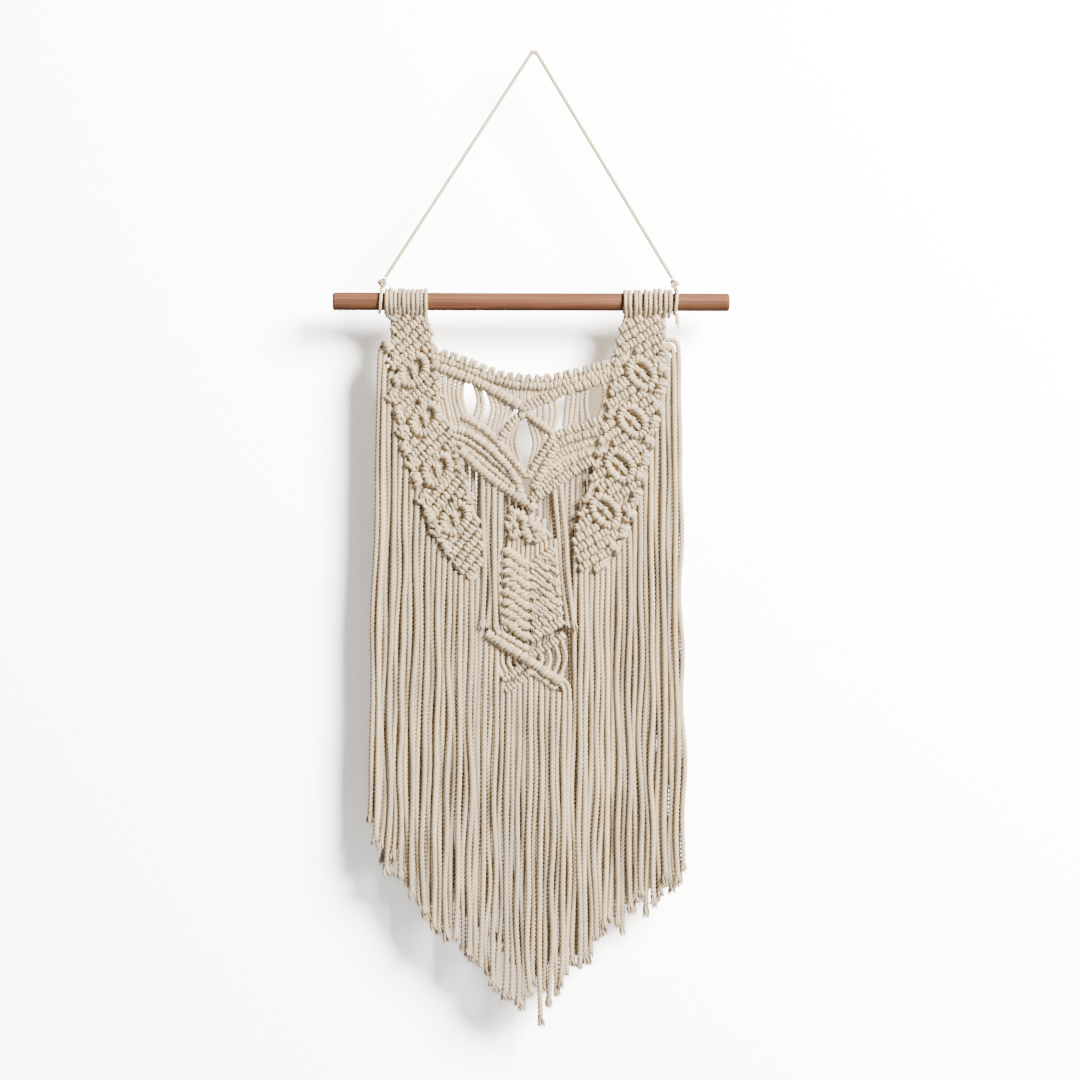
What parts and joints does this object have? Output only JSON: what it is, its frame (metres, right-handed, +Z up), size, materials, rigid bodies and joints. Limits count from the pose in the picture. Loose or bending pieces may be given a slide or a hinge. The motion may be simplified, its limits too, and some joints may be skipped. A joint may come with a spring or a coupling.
{
  "type": "macrame wall hanging on a wooden dowel",
  "caption": "Knotted cotton wall hanging: two strap bands on a wooden dowel join a netted yoke with a V-shaped panel above a long pointed fringe; it hangs from one cord.",
  "frame": {"origin": "the point on the wall hook where the hanging cord's bend rests", "axes": "+Z up, along the length of the hanging; +X to the right as it is looked at; +Y towards the wall, so the front faces -Y"},
  "size_m": [0.3, 0.021, 0.739],
  "materials": {
    "dowel": "sealed, lightly sanded",
    "hanging_cord": "twisted cotton cord",
    "hitch_left": "twisted cotton cord",
    "hitch_right": "twisted cotton cord",
    "larks_heads_left": "matt three-ply twisted cotton",
    "larks_heads_right": "matt three-ply twisted cotton",
    "strap_left": "matt three-ply twisted cotton",
    "strap_right": "matt three-ply twisted cotton",
    "neckline": "matt three-ply twisted cotton",
    "chevron_row": "matt three-ply twisted cotton",
    "net_left": "matt three-ply twisted cotton",
    "net_right": "matt three-ply twisted cotton",
    "centre_diamond": "matt three-ply twisted cotton",
    "leaf_left": "matt three-ply twisted cotton",
    "leaf_right": "matt three-ply twisted cotton",
    "centre_knots": "matt three-ply twisted cotton",
    "centre_panel": "matt three-ply twisted cotton",
    "cross_knot": "matt three-ply twisted cotton",
    "strands_left_outer": "matt three-ply twisted cotton",
    "strands_left_inner": "matt three-ply twisted cotton",
    "strands_left_net": "matt three-ply twisted cotton",
    "strand_right_net": "matt three-ply twisted cotton",
    "strands_centre": "matt three-ply twisted cotton",
    "strands_right_inner": "matt three-ply twisted cotton",
    "strands_right_outer": "matt three-ply twisted cotton",
    "strands_back": "matt three-ply twisted cotton"
  },
  "bodies": {
    "root": {"dowel": "dowel", "hanging_cord": "hanging_cord", "hitch_left": "hitch_left", "hitch_right": "hitch_right", "larks_heads_left": "larks_heads_left", "larks_heads_right": "larks_heads_right", "strap_left": "strap_left", "strap_right": "strap_right", "neckline": "neckline", "chevron_row": "chevron_row", "net_left": "net_left", "net_right": "net_right", "centre_diamond": "centre_diamond", "leaf_left": "leaf_left", "leaf_right": "leaf_right", "centre_knots": "centre_knots", "centre_panel": "centre_panel", "cross_knot": "cross_knot", "strands_left_outer": "strands_left_outer", "strands_left_inner": "strands_left_inner", "strands_left_net": "strands_left_net", "strand_right_net": "strand_right_net", "strands_centre": "strands_centre", "strands_right_inner": "strands_right_inner", "strands_right_outer": "strands_right_outer", "strands_back": "strands_back"}
  },
  "joints": []
}
